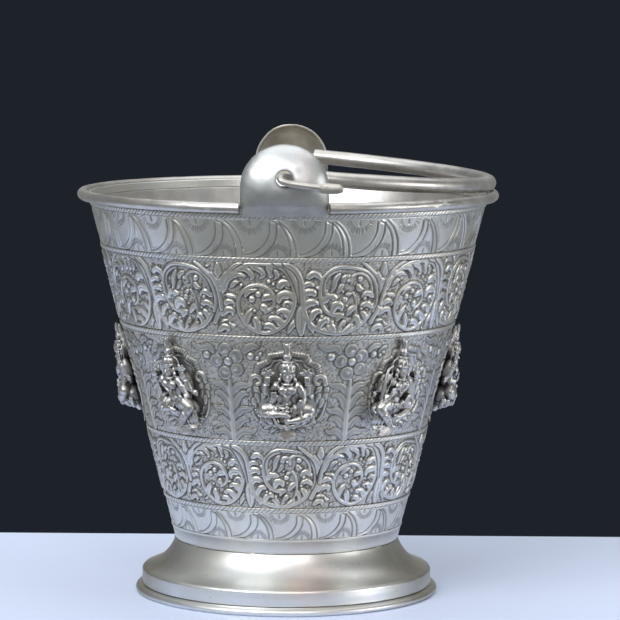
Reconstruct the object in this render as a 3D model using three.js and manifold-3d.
// Puja bucket of German silver: a flared pail of chased sheet on a spun foot, with eight cast figures
// round its wall and a bail that swings in two domed ears.
// Millimetres, Z up, origin at the middle of the foot, where the bucket stands. The front is -Y.
import * as THREE from 'three';
import { mergeVertices } from 'three/addons/utils/BufferGeometryUtils.js';
import Module from 'manifold-3d';

const wasm = await Module();
wasm.setup();

// Joints between pieces
const seam = 0.3; // soldered or seated pieces stand this far apart
const cutOverrun = 2; // cutting solids run past what they cut

// Heights of the wall's bands, from the foot up
const footHeight = 26;
const collarHeight = 6;
const lineWidth = 1.2;
const lowerEngravedHeight = 12.8;
const lowerScrollHeight = 30;
const figureBandHeight = 47.4;
const upperScrollHeight = 34.1;
const upperEngravedHeight = 17.6;
const rimLandHeight = 3.6;
const ropeWidth = 2.5;
const ropeRelief = 0.5; // how far the rope mouldings stand out of the wall

// Wall, floor and rim
const wallSheet = 1;
const wallFootRadius = 53.2; // outside of the wall where it meets the foot
const floorSheet = 1.2;
const rimRadius = 100; // outside of the rim bead
const beadRadius = 2.5;
const beadDrop = 0.9; // the bead's middle lies this far below the wall's top edge

// Foot
const footSheet = 1.3;
const footFlange = 9; // the foot's flat top reaches this far in under the floor
const footNeckRadius = 53.3;
const footShoulderRadius = 69.1;
const footShoulderHeight = 10.1;
const footCoveRadius = 67.6; // where the hollow curve turns into the shoulder
const footCoveHeight = 11.8;
const baseRingRadius = 72.2;
const baseRingHeight = 3.9;
const baseRingWidth = 6.5;
const baseRingTread = 0.7; // the ring's outer edge rolls in this far to its tread

// Ears
const earHalfWidth = 19.3;
const earHeight = 32.5;
const earOverlap = 4.9; // the ear reaches this far down below the wall's top edge
const earSheet = 1;
const earDome = 8.4; // how far the dome swells out of its edge
const earLean = 3.6; // how far the top edge leans in over the bucket
const earTaper = 1; // each side is this much narrower at the foot of the ear
const earHoleRadius = 3.7;

// Bail
const pivotRise = 13; // the pivots' height above the wall's top edge
const gripInset = 3.1; // the grip's middle lies this much nearer to the pivot line than the bead's
const bailPlay = 3.6; // between the sides of the grip and the ears' leaning edges
const bailRadius = 3.6;
const bailSheet = 1;
const bailEndReach = 11.5; // pivot line to the ends of the tube
const hookRadius = 1.4;
const hookPlug = 8; // length of hook inside the tube
const hookPlay = 0.6; // between the ear and the hook's outer leg
const hookBend = 3.2;
const hookLeg = 22;
const hookDroop = 1.2; // the outer leg's end hangs this far below the bail's plane
const lobeLength = 11;
const lobeWidth = 5;
const lobeThickness = 1.8;

// Cast figures
const figureCount = 8;
const figureHeight = 45;
const figureRise = 4.5; // foot of the casting above the lower edge of its band
const figureTurn = THREE.MathUtils.degToRad(1); // the front figure stands this far round from the ear

// Main forms of the chased ornament, raised from the wall
const chasedRelief = 0.8;
const chasedRoot = 0.5; // their solids reach this far into the sheet
const scrollStem = 3.6; // width of a stem at its root
const scrollMargin = 1; // between a scroll and the edges of its band
const scrollWinds = 1.05; // turns of a scroll's stem
const scrollStart = THREE.MathUtils.degToRad(200); // where its stem leaves the band's edge
const scrollInset = 0.5; // share of its reach that its stem loses on the way in
const upperScrollPairs = 7;
const upperScrollTurn = THREE.MathUtils.degToRad(5.4); // where two scrolls meet, from the front
const lowerScrollPairs = 6;
const lowerScrollTurn = THREE.MathUtils.degToRad(-15.2);
const budLength = 10;
const budWidth = 5;
const nicheTurn = THREE.MathUtils.degToRad(1.4);
const nicheHalfWidth = 14.4;
const nicheMiddle = 24; // height of the niche's middle above the lower edge of its band
const nicheRise = 18.2;
const nicheRope = 4.4; // width of the border round a niche
const nicheStart = THREE.MathUtils.degToRad(-55); // where the border starts, from its right-hand side
const nicheClearance = 0.4; // between the border and a casting, measured straight out
const plantStem = 3; // width of a plant's stem at its root
const plantStemHeight = 29;
const flowerHeight = 37.7; // of the flower's middle above the lower edge of the band
const flowerRadius = 7.6;
const flowerPetals = 5;

// Fineness of the round forms
const turnSides = 40; // a multiple of the number of figures
const beadSteps = 24;
const beadSides = 8;
const bailSteps = 18;
const bailSides = 10;
const bailBoreSides = 6;
const hookSteps = 14;
const hookSides = 6;
const lobeSides = 8;
const lobeRows = 4;
const earRows = 6;
const earLowerRows = 3;
const earColumns = 9;
const holeSides = 12;
const bodySides = 6; // of a figure's body, crown and seat
const limbSides = 4; // of its arms and legs
const scrollSteps = 6;
const nicheSteps = 7;
const chasedTolerance = 0.2; // bends in the chased wall's faces that are left out
const castingTolerance = 0.35; // and in the castings'

const quarter = Math.PI / 2;

// Colours of the metal
const polished = { color: 0xc4c2bb, metalness: 1, roughness: 0.3 };
const chased = { color: 0xa9a69c, metalness: 1, roughness: 0.42 };
const cast = { color: 0x8f8b82, metalness: 1, roughness: 0.38 };
const satin = { color: 0xbdb8ac, metalness: 1, roughness: 0.36 };

// Heights and radii that follow from the sizes
const bands = [
  { name: 'collar', height: collarHeight },
  { name: 'line', height: lineWidth, raised: true },
  { name: 'lower_engraved', height: lowerEngravedHeight },
  { name: 'rope', height: ropeWidth, raised: true },
  { name: 'lower_scroll', height: lowerScrollHeight },
  { name: 'rope', height: ropeWidth, raised: true },
  { name: 'figures', height: figureBandHeight },
  { name: 'rope', height: ropeWidth, raised: true },
  { name: 'upper_scroll', height: upperScrollHeight },
  { name: 'rope', height: ropeWidth, raised: true },
  { name: 'upper_engraved', height: upperEngravedHeight },
  { name: 'rope', height: ropeWidth, raised: true },
  { name: 'rim_land', height: rimLandHeight },
];
let wallTop = footHeight;
for (const band of bands) {
  band.foot = wallTop;
  wallTop += band.height;
}
const beadHeight = wallTop - beadDrop;
const beadRing = rimRadius - beadRadius;
const flare = (beadRing - beadRadius - seam - wallFootRadius) / (beadHeight - footHeight);
const wallRadius = (height) => wallFootRadius + flare * (height - footHeight);
const figureBand = bands.find((band) => band.name === 'figures');
const floorFoot = footHeight;
const flangeTop = footHeight - seam;
const pivotHeight = wallTop + pivotRise;

// The ears stand one seam outside the wall's mouldings.
const earFoot = wallTop - earOverlap;
const earTop = earFoot + earHeight;
const earShoulder = earTop - earHalfWidth;
const earSeat = (height) => wallRadius(Math.min(height, wallTop)) + ropeRelief + seam + earSheet;
const earEdge = Math.sqrt(earSeat(earShoulder) ** 2 - earHalfWidth ** 2);
const bailHalfWidth = earEdge - earLean - bailPlay - bailRadius;

// The bail comes to rest when its grip lies one seam off the rim bead.
const restDrop = pivotHeight - beadHeight;
const restSpan = Math.hypot(beadRing, restDrop);
const bailReach = restSpan - gripInset;
const restReach = beadRadius + bailRadius + seam;
const restCosine = (bailReach ** 2 + restSpan ** 2 - restReach ** 2) / (2 * bailReach * restSpan);
const restSlope = Math.atan2(restDrop, beadRing) - Math.acos(restCosine);

const bucket = new THREE.Group();

// Shared helpers

function welded(geometry) {
  const bare = geometry.clone();
  bare.deleteAttribute('normal');
  bare.deleteAttribute('uv');
  return mergeVertices(bare);
}

function solid(geometry) {
  const body = welded(geometry);
  const vertProperties = new Float32Array(body.attributes.position.array);
  const triVerts = new Uint32Array(body.index.array);
  return new wasm.Manifold(new wasm.Mesh({ numProp: 3, vertProperties, triVerts }));
}

function surface(body) {
  const mesh = body.getMesh();
  const geometry = new THREE.BufferGeometry();
  geometry.setAttribute('position', new THREE.BufferAttribute(new Float32Array(mesh.vertProperties), 3));
  geometry.setIndex(new THREE.BufferAttribute(new Uint32Array(mesh.triVerts), 1));
  return geometry;
}

function indexed(corners, faces) {
  const geometry = new THREE.BufferGeometry();
  geometry.setAttribute('position', new THREE.Float32BufferAttribute(corners, 3));
  geometry.setIndex(faces);
  return geometry;
}

function joined(geometries) {
  return wasm.Manifold.union(geometries.map(solid));
}

// The same body without the faces that bend less than the tolerance
function plainer(body, tolerance) {
  return body.asOriginal().simplify(tolerance);
}

function addPiece(name, geometry, finish, parent = bucket) {
  geometry.computeVertexNormals();
  const mesh = new THREE.Mesh(geometry, new THREE.MeshStandardMaterial(finish));
  mesh.name = name;
  parent.add(mesh);
  return mesh;
}

// A profile of [radius, height] points turned round Z; it closes on itself or on the axis, and runs
// anticlockwise in the half plane of radius and height.
function turned(profile, sides = turnSides) {
  const points = profile.map(([radius, height]) => new THREE.Vector2(radius, height));
  return new THREE.LatheGeometry(points, sides).rotateX(quarter);
}

// A ring's profile is closed by repeating its first point.
function ring(profile) {
  return turned([...profile, profile[0]]);
}

function swept(shape, path, steps) {
  return new THREE.ExtrudeGeometry(shape, { steps, extrudePath: path, curveSegments: 1 });
}

function roundSection(radius, sides, boreRadius = 0, boreSides = 0) {
  const circle = (size, count) => Array.from({ length: count }, (_, i) => {
    const turn = (2 * Math.PI * i) / count;
    return new THREE.Vector2(size * Math.cos(turn), size * Math.sin(turn));
  });
  const shape = new THREE.Shape(circle(radius, sides));
  if (boreRadius > 0) shape.holes.push(new THREE.Path(circle(boreRadius, boreSides).reverse()));
  return shape;
}

// Points of a sheet's inner face: its outer profile moved in by the sheet's thickness.
function offsetProfile(points, thickness) {
  return points.map(([radius, height], i) => {
    const before = points[Math.max(i - 1, 0)];
    const after = points[Math.min(i + 1, points.length - 1)];
    const along = new THREE.Vector2(after[0] - before[0], after[1] - before[1]).normalize();
    return [radius + along.y * thickness, height - along.x * thickness];
  });
}

// Wall: a flared sheet with six raised mouldings

function wallProfile() {
  const outside = [[wallRadius(footHeight), footHeight]];
  for (const { foot, height, raised } of bands.filter((band) => band.raised)) {
    const crown = foot + height / 2;
    outside.push([wallRadius(foot), foot]);
    outside.push([wallRadius(crown) + ropeRelief, crown]);
    outside.push([wallRadius(foot + height), foot + height]);
  }
  outside.push([wallRadius(wallTop), wallTop]);
  const inside = [wallTop, footHeight].map((height) => [wallRadius(height) - wallSheet, height]);
  return [...outside, ...inside];
}

// A point on the wall: how far round from the front, how high, and how far out of its face.
function onWall(turn, height, out) {
  const radius = wallRadius(height) + out;
  return [radius * Math.sin(turn), -radius * Math.cos(turn), height];
}

// A raised stem along a path of [turn, height] points, with a ridge down its middle. Lift moves it out
// of the wall.
function ridge(path, width, lift = 0) {
  const count = path.length;
  const corners = path.flatMap(([turn, height], i) => {
    const before = path[Math.max(i - 1, 0)];
    const after = path[Math.min(i + 1, count - 1)];
    const radius = wallRadius(height);
    const along = new THREE.Vector2((after[0] - before[0]) * radius, after[1] - before[1]).normalize();
    const aside = (share) => [turn - (along.y * share * width) / radius, height + along.x * share * width];
    const left = onWall(...aside(0.5), lift - chasedRoot);
    const crown = onWall(turn, height, lift + chasedRelief);
    const right = onWall(...aside(-0.5), lift - chasedRoot);
    return [...left, ...crown, ...right];
  });
  const faces = [0, 2, 1, 3 * count - 3, 3 * count - 2, 3 * count - 1];
  for (let i = 0; i < count - 1; i += 1) {
    const [left, crown, right] = [3 * i, 3 * i + 1, 3 * i + 2];
    const [nextLeft, nextCrown, nextRight] = [left + 3, crown + 3, right + 3];
    faces.push(left, crown, nextCrown, left, nextCrown, nextLeft);
    faces.push(crown, right, nextRight, crown, nextRight, nextCrown);
    faces.push(right, left, nextLeft, right, nextLeft, nextRight);
  }
  return indexed(corners, faces);
}

// A raised boss that rises from an outline of [turn, height] points to a crown over its middle
function boss(outline, middle) {
  const count = outline.length;
  const corners = [
    ...outline.flatMap(([turn, height]) => onWall(turn, height, -chasedRoot)),
    ...onWall(...middle, chasedRelief),
    ...onWall(...middle, -chasedRoot),
  ];
  const faces = [];
  for (let i = 0; i < count; i += 1) {
    const next = (i + 1) % count;
    faces.push(i, next, count, next, i, count + 1);
  }
  return indexed(corners, faces);
}

// Scrolls wind inwards in mirrored pairs, one turned over, with a bud wherever two of them meet.
function scrolls(bandName, pairs, firstTurn) {
  const band = bands.find(({ name }) => name === bandName);
  const middle = band.foot + band.height / 2;
  const share = Math.PI / pairs; // angle that one scroll takes
  const rise = (band.height - scrollStem) / 2 - scrollMargin;
  const spread = share / 2 - (scrollStem / 2 + scrollMargin) / wallRadius(middle);
  const forms = [];
  for (let i = 0; i < 2 * pairs; i += 1) {
    const over = i % 2 ? 1 : -1;
    const centre = firstTurn + (i + 0.5) * share;
    const stem = [];
    for (let step = 0; step <= scrollSteps; step += 1) {
      const done = step / scrollSteps;
      const wind = scrollStart - 2 * Math.PI * scrollWinds * done;
      const reach = 1 - scrollInset * done ** 2;
      stem.push([centre + spread * reach * Math.cos(wind), middle + over * rise * reach * Math.sin(wind)]);
    }
    forms.push(ridge(over > 0 ? stem : stem.reverse(), scrollStem));
    const end = firstTurn + i * share;
    const budMiddle = middle + over * (rise - budLength / 2);
    const half = budWidth / 2 / wallRadius(budMiddle);
    const bud = [
      [end - half, budMiddle],
      [end, budMiddle - budLength / 2],
      [end + half, budMiddle],
      [end, budMiddle + budLength / 2],
    ];
    forms.push(boss(bud, [end, budMiddle]));
  }
  return forms;
}

const eachNiche = (form) => Array.from({ length: figureCount }, (_, i) => (
  form(nicheTurn + (2 * Math.PI * i) / figureCount)
));

// A roped border round a figure's niche, open where the seat hides it
function nicheBorder(turn, lift) {
  const border = [];
  for (let step = 0; step <= nicheSteps; step += 1) {
    const round = nicheStart + ((Math.PI - 2 * nicheStart) * step) / nicheSteps;
    const height = figureBand.foot + nicheMiddle + nicheRise * Math.sin(round);
    border.push([turn + (nicheHalfWidth * Math.cos(round)) / wallRadius(height), height]);
  }
  return ridge(border, nicheRope, lift);
}

// A flowering plant stands midway between two niches.
function plant(nicheTurnBefore) {
  const turn = nicheTurnBefore + Math.PI / figureCount;
  const foot = figureBand.foot + scrollMargin;
  const flower = figureBand.foot + flowerHeight;
  const petals = [];
  for (let k = 0; k < 2 * flowerPetals; k += 1) {
    const round = (Math.PI * k) / flowerPetals + quarter;
    const reach = k % 2 ? flowerRadius / 2 : flowerRadius;
    petals.push([turn + (reach * Math.cos(round)) / wallRadius(flower), flower + reach * Math.sin(round)]);
  }
  return [ridge([[turn, foot], [turn, foot + plantStemHeight]], plantStem), boss(petals, [turn, flower])];
}

const chasedForms = [
  ...scrolls('upper_scroll', upperScrollPairs, upperScrollTurn),
  ...scrolls('lower_scroll', lowerScrollPairs, lowerScrollTurn),
  ...eachNiche((turn) => nicheBorder(turn, 0)),
  ...eachNiche(plant).flat(),
];
const chasedWall = joined([ring(wallProfile()), ...chasedForms]);
addPiece('bucket_wall', surface(plainer(chasedWall, chasedTolerance)), chased);

// Floor: a disc let into the foot of the wall, lying on the foot's flange
const floorEdge = (height) => wallRadius(height) - wallSheet - seam;
const floorTop = floorFoot + floorSheet;
addPiece('bucket_floor', turned([
  [0, floorFoot],
  [floorEdge(floorFoot), floorFoot],
  [floorEdge(floorTop), floorTop],
  [0, floorTop],
]), polished);

// Foot: a spun shell with a hollow curve, a shoulder and an upright band

function footProfile() {
  const point = (radius, height) => new THREE.Vector2(radius, height);
  const coveDepth = flangeTop - footCoveHeight;
  const coveWidth = footCoveRadius - footNeckRadius;
  const cove = new THREE.CubicBezierCurve(
    point(footNeckRadius, flangeTop),
    point(footNeckRadius + coveWidth * 0.13, flangeTop - coveDepth * 0.45),
    point(footNeckRadius + coveWidth * 0.5, footCoveHeight + coveDepth * 0.13),
    point(footCoveRadius, footCoveHeight),
  );
  const shoulder = new THREE.QuadraticBezierCurve(
    point(footCoveRadius, footCoveHeight),
    point(footShoulderRadius, footCoveHeight),
    point(footShoulderRadius, footShoulderHeight),
  );
  const bandFoot = point(footShoulderRadius, baseRingHeight + seam);
  const curve = (coveSteps, shoulderSteps) => [
    ...cove.getPoints(coveSteps),
    ...shoulder.getPoints(shoulderSteps).slice(1),
    bandFoot,
  ].reverse().map(({ x, y }) => [x, y]);
  const outside = curve(4, 2);
  const inside = offsetProfile(curve(2, 1), -footSheet).reverse();
  const flangeRadius = footNeckRadius - footFlange;
  const underFlange = flangeTop - footSheet;
  return [
    ...outside,
    [flangeRadius, flangeTop],
    [flangeRadius, underFlange],
    [footNeckRadius - footSheet, underFlange],
    ...inside.slice(1),
  ];
}

addPiece('foot_shell', ring(footProfile()), satin);

// Base ring: a half-round band under the foot's edge, on which the bucket stands
const ringInside = baseRingRadius - baseRingWidth;
const ringTread = baseRingRadius - baseRingTread;
addPiece('foot_base_ring', ring([
  [ringInside, 0],
  [ringTread, 0],
  [baseRingRadius, baseRingHeight * 0.3],
  [baseRingRadius, baseRingHeight * 0.6],
  [footShoulderRadius + seam, baseRingHeight],
  [ringInside, baseRingHeight],
]), satin);

// Rim bead: two lengths of round bar soldered outside the wall's top edge, from ear to ear

class RingArc extends THREE.Curve {
  constructor(radius, height, from, to) {
    super();
    Object.assign(this, { radius, height, from, to });
  }

  getPoint(t, target = new THREE.Vector3()) {
    const turn = this.from + (this.to - this.from) * t;
    return target.set(this.radius * Math.cos(turn), this.radius * Math.sin(turn), this.height);
  }
}

const beadEnd = Math.acos((earHalfWidth + seam) / (beadRing - beadRadius));
for (const [name, turn] of [['rim_bead_right', 0], ['rim_bead_left', Math.PI]]) {
  const path = new RingArc(beadRing, beadHeight, turn - beadEnd, turn + beadEnd);
  addPiece(name, swept(roundSection(beadRadius, beadSides), path, beadSteps), polished);
}

// Ears: domed shields of sheet, bent round the outside of the rim and pierced for the bail

// One level of the ear: how high it is, how wide, where its edge lies and how far it swells.
function earLevels(sheet) {
  const levels = [];
  for (let row = 0; row < earLowerRows; row += 1) {
    const share = row / earLowerRows;
    const height = earFoot + (earShoulder - earFoot) * share;
    const width = earHalfWidth - earTaper * (1 - share);
    const edge = Math.sqrt(earSeat(height) ** 2 - width ** 2);
    const flat = earSeat(height) - edge;
    const swell = flat + (earDome - flat) * Math.sin(share * quarter);
    levels.push({ height, width: width - sheet, edge, swell: swell - sheet });
  }
  for (let row = 0; row <= earRows; row += 1) {
    const rise = (row / earRows) * quarter;
    const height = earShoulder + (earHalfWidth - sheet) * Math.sin(rise);
    const width = (earHalfWidth - sheet) * Math.cos(rise);
    const edge = earEdge - earLean * (1 - Math.cos(rise));
    levels.push({ height, width, edge, swell: (earDome - sheet) * Math.cos(rise) });
  }
  return levels;
}

function earSheetGeometry() {
  const corners = [];
  const rows = earLevels(0).length;
  const stride = earColumns + 1;
  for (const sheet of [0, earSheet]) {
    for (const { height, width, edge, swell } of earLevels(sheet)) {
      for (let column = 0; column <= earColumns; column += 1) {
        const swing = (column / earColumns) * Math.PI - quarter;
        corners.push(width * Math.sin(swing), -(edge + swell * Math.cos(swing)), height);
      }
    }
  }
  const faces = [];
  const quad = (a, b, c, d) => faces.push(a, b, c, a, c, d);
  const inner = rows * stride;
  for (let row = 0; row < rows - 1; row += 1) {
    const start = row * stride;
    for (let column = 0; column < earColumns; column += 1) {
      const a = start + column;
      quad(a, a + 1, a + 1 + stride, a + stride);
      quad(inner + a, inner + a + stride, inner + a + 1 + stride, inner + a + 1);
    }
    const end = start + earColumns;
    quad(start, start + stride, inner + start + stride, inner + start);
    quad(end, inner + end, inner + end + stride, end + stride);
  }
  for (let column = 0; column < earColumns; column += 1) {
    quad(column, inner + column, inner + column + 1, column + 1);
  }
  const top = (rows - 1) * stride;
  quad(top, top + earColumns, inner + top + earColumns, inner + top);
  const geometry = new THREE.BufferGeometry();
  geometry.setAttribute('position', new THREE.Float32BufferAttribute(corners, 3));
  geometry.setIndex(faces);
  return withoutSlivers(mergeVertices(geometry));
}

// Drops the faces that a pole has closed to nothing.
function withoutSlivers(geometry) {
  const index = geometry.index.array;
  const kept = [];
  for (let i = 0; i < index.length; i += 3) {
    const [a, b, c] = [index[i], index[i + 1], index[i + 2]];
    if (a !== b && b !== c && c !== a) kept.push(a, b, c);
  }
  geometry.setIndex(kept);
  return geometry;
}

const earApex = earSeat(earShoulder) + earDome;
const holeDrill = new THREE.CylinderGeometry(earHoleRadius, earHoleRadius, earDome + cutOverrun, holeSides)
  .translate(0, -earApex, 0)
  .translate(0, 0, pivotHeight);
const earSolid = solid(earSheetGeometry()).subtract(solid(holeDrill));
addPiece('ear_front', surface(earSolid), polished);
addPiece('ear_back', surface(earSolid).rotateZ(Math.PI), polished);

// Bail: a bent tube with a wire hook plugged into each end. It is drawn level, with the pivot line
// along Y through the origin, and then laid down to rest on the rim bead.

class BailArc extends THREE.Curve {
  getPoint(t, target = new THREE.Vector3()) {
    const end = Math.acos(bailEndReach / bailReach);
    const turn = end * (2 * t - 1);
    return target.set(bailReach * Math.cos(turn), bailHalfWidth * Math.sin(turn), 0);
  }
}

const bail = new THREE.Group();
bail.position.set(0, 0, pivotHeight);
bail.rotation.y = restSlope;
bucket.add(bail);

const bailArc = new BailArc();
const bailBore = bailRadius - bailSheet;
const tubeSection = roundSection(bailRadius, bailSides, bailBore, bailBoreSides);
addPiece('bail_grip', swept(tubeSection, bailArc, bailSteps), polished, bail);

const legOffset = earApex + hookPlay + hookRadius;

function hookGeometry() {
  const tubeEnd = bailArc.getPoint(0);
  const along = bailArc.getPoint(hookPlug / (2 * bailReach)).sub(tubeEnd).normalize();
  const plugEnd = tubeEnd.clone().addScaledVector(along, hookPlug);
  const run = new THREE.CatmullRomCurve3([
    plugEnd,
    tubeEnd,
    new THREE.Vector3(hookBend, -(earApex + tubeEnd.y) / 2 + tubeEnd.y, 0),
    new THREE.Vector3(0, -(legOffset - 2 * hookBend), 0),
    new THREE.Vector3(0, -(legOffset - hookBend), 0),
    new THREE.Vector3(hookBend * 0.3, -(legOffset - hookBend * 0.3), 0),
    new THREE.Vector3(hookBend, -legOffset, 0),
    new THREE.Vector3(hookLeg, -legOffset, -hookDroop),
  ], false, 'centripetal');
  const wire = swept(roundSection(hookRadius, hookSides), run, hookSteps);
  const lobe = new THREE.SphereGeometry(1, lobeSides, lobeRows)
    .scale(lobeLength / 2, lobeThickness / 2, lobeWidth / 2)
    .translate(hookLeg, -legOffset, -hookDroop);
  return surface(joined([wire, lobe]));
}

const frontHook = hookGeometry();
addPiece('bail_hook_front', frontHook, polished, bail);
const backHook = frontHook.clone().scale(1, -1, 1);
backHook.setIndex(Array.from(backHook.index.array).reverse());
addPiece('bail_hook_back', backHook, polished, bail);

// Cast figures: crowned, four-armed and seated on a lotus, one every eighth of the way round.
// Every place and size below is a share of the figure's height: [across, up, out].

const place = (across, up, out) => new THREE.Vector3(across, -out, up).multiplyScalar(figureHeight);

function knob(centreShare, radiiShare) {
  const [across, up, out] = radiiShare;
  const { x, y, z } = place(...centreShare);
  return new THREE.OctahedronGeometry(1, 0)
    .scale(across * figureHeight, out * figureHeight, up * figureHeight)
    .translate(x, y, z);
}

// A limb tapers from one joint to the next.
function limb(startShare, endShare, startWidthShare, endWidthShare, sides = limbSides) {
  const start = place(...startShare);
  const end = place(...endShare);
  const along = end.clone().sub(start);
  const upright = new THREE.Vector3(0, 1, 0);
  const turn = new THREE.Quaternion().setFromUnitVectors(upright, along.clone().normalize());
  const middle = start.clone().add(end).multiplyScalar(0.5);
  return new THREE.CylinderGeometry(
    endWidthShare * figureHeight, startWidthShare * figureHeight, along.length(), sides,
  ).applyQuaternion(turn).translate(middle.x, middle.y, middle.z);
}

// An upright form of level rows, each [half width, up, out], flattened front to back.
function stack(rowsShare, depthShare, sides = bodySides) {
  const corners = [];
  for (const [width, up, out] of rowsShare) {
    for (let i = 0; i < sides; i += 1) {
      const turn = (2 * Math.PI * i) / sides;
      const corner = place(width * Math.cos(turn), up, out - depthShare * width * Math.sin(turn));
      corners.push(corner.x, corner.y, corner.z);
    }
  }
  const faces = [];
  const top = (rowsShare.length - 1) * sides;
  for (let row = 0; row < top; row += sides) {
    for (let i = 0; i < sides; i += 1) {
      const [a, b] = [row + i, row + (i + 1) % sides];
      faces.push(a, b, b + sides, a, b + sides, a + sides);
    }
  }
  for (let i = 1; i < sides - 1; i += 1) {
    faces.push(0, i + 1, i, top, top + i, top + i + 1);
  }
  return indexed(corners, faces);
}

// Body, face and tiered crown in one column, and the lotus seat below it
const bodyRowsShare = [
  [0.08, 0.3, 0.12], [0.05, 0.42, 0.14], [0.125, 0.56, 0.13], [0.034, 0.59, 0.135], [0.045, 0.64, 0.15],
  [0.066, 0.7, 0.14], [0.066, 0.76, 0.13], [0.04, 0.8, 0.12], [0.048, 0.82, 0.11], [0.022, 0.88, 0.1],
  [0.034, 1, 0.07],
];
const seatRowsShare = [[0.06, 0.01, 0.02], [0.07, 0.12, 0.04], [0.13, 0.17, 0.07], [0.13, 0.29, 0.09]];

function heldThing(kind, side, handShare) {
  const [across, up, out] = handShare;
  if (kind === 'disc') {
    return limb([across, up + 0.05, out - 0.02], [across, up + 0.05, out + 0.02], 0.05, 0.05, bodySides);
  }
  if (kind === 'bow') {
    return limb([across - side * 0.02, up + 0.1, out], [across + side * 0.01, up - 0.28, out], 0.02, 0.024);
  }
  if (kind === 'pot') {
    return limb([across, up, out], [across, up + 0.09, out], 0.045, 0.03, bodySides);
  }
  return limb([across, up, out], [across - side * 0.01, up + 0.09, out], 0.024, 0.044);
}

function armPair(side, held) {
  const hand = [side * 0.19, 0.62, 0.1];
  return [
    limb([side * 0.1, 0.56, 0.12], [side * 0.17, 0.44, 0.13], 0.046, 0.038),
    knob([side * 0.135, 0.46, 0.18], [0.045, 0.07, 0.055]),
    limb([side * 0.13, 0.52, 0.07], [side * 0.215, 0.45, 0.08], 0.036, 0.036),
    limb([side * 0.208, 0.45, 0.08], hand, 0.036, 0.04),
    heldThing(held, side, hand),
  ];
}

function foldedLeg(side) {
  return [
    limb([side * 0.06, 0.32, 0.08], [side * 0.235, 0.335, 0.15], 0.075, 0.05),
    limb([side * 0.225, 0.33, 0.16], [side * -0.02, 0.31, 0.19], 0.045, 0.034),
  ];
}

// The hanging leg rests in front of a stool, and the other is drawn up beside it.
function hangingLegs(side) {
  return [
    limb([side * 0.04, 0.32, 0.08], [side * 0.23, 0.34, 0.15], 0.075, 0.055),
    limb([side * 0.23, 0.35, 0.16], [side * 0.13, 0.11, 0.17], 0.052, 0.036),
    knob([side * 0.12, 0.09, 0.18], [0.045, 0.04, 0.07]),
    limb([side * 0.18, 0.03, 0.07], [side * 0.18, 0.25, 0.09], 0.085, 0.105, bodySides),
    limb([side * -0.03, 0.32, 0.08], [side * -0.15, 0.32, 0.15], 0.075, 0.05),
    limb([side * -0.14, 0.3, 0.17], [side * 0.06, 0.26, 0.19], 0.045, 0.034),
  ];
}

function figureSolid({ left, right, hangingSide }) {
  return joined([
    stack(bodyRowsShare, 0.7),
    stack(seatRowsShare, 0.8),
    knob([-0.058, 0.51, 0.175], [0.05, 0.05, 0.045]),
    knob([0.058, 0.51, 0.175], [0.05, 0.05, 0.045]),
    limb([0, 0.36, 0.2], [0, 0.22, 0.2], 0.028, 0.034),
    ...armPair(-1, left),
    ...armPair(1, right),
    ...(hangingSide ? hangingLegs(hangingSide) : [-1, 1].flatMap(foldedLeg)),
  ]);
}

// What each figure holds in its raised hands, the side on which a leg hangs, and how many degrees it was
// soldered off its own eighth of the wall
const figures = [
  { name: 'front', left: 'lotus', right: 'lotus', hangingSide: 0, astray: 0 },
  { name: 'front_right', left: 'bow', right: 'disc', hangingSide: -1, astray: -3.2 },
  { name: 'right', left: 'disc', right: 'lotus', hangingSide: 0, astray: 0 },
  { name: 'back_right', left: 'lotus', right: 'pot', hangingSide: 1, astray: 0 },
  { name: 'back', left: 'lotus', right: 'lotus', hangingSide: 0, astray: 0 },
  { name: 'back_left', left: 'disc', right: 'bow', hangingSide: -1, astray: 0 },
  { name: 'left', left: 'pot', right: 'disc', hangingSide: 0, astray: 0 },
  { name: 'front_left', left: 'disc', right: 'lotus', hangingSide: 1, astray: 1.7 },
];

// The wall and its niches as the castings meet them, one seam further out
const seatFoot = figureBand.foot - cutOverrun;
const seatTop = figureBand.foot + figureBand.height + cutOverrun;
const wallSeat = joined([
  turned([
    [0, seatFoot],
    [wallRadius(seatFoot) + seam, seatFoot],
    [wallRadius(seatTop) + seam, seatTop],
    [0, seatTop],
  ]),
  ...eachNiche((turn) => nicheBorder(turn, nicheClearance)),
]);
const figureFoot = figureBand.foot + figureRise;
const lean = Math.atan(flare);

figures.forEach((figure, i) => {
  const turn = (2 * Math.PI * i) / figureCount + figureTurn + THREE.MathUtils.degToRad(figure.astray);
  const standing = new THREE.Matrix4().makeTranslation(0, -wallRadius(figureFoot), figureFoot)
    .multiply(new THREE.Matrix4().makeRotationX(lean));
  const plain = surface(plainer(figureSolid(figure), castingTolerance));
  const casting = solid(plain.applyMatrix4(standing).rotateZ(turn));
  addPiece(`figure_${figure.name}`, surface(casting.subtract(wallSeat)), cast);
});

export default bucket;
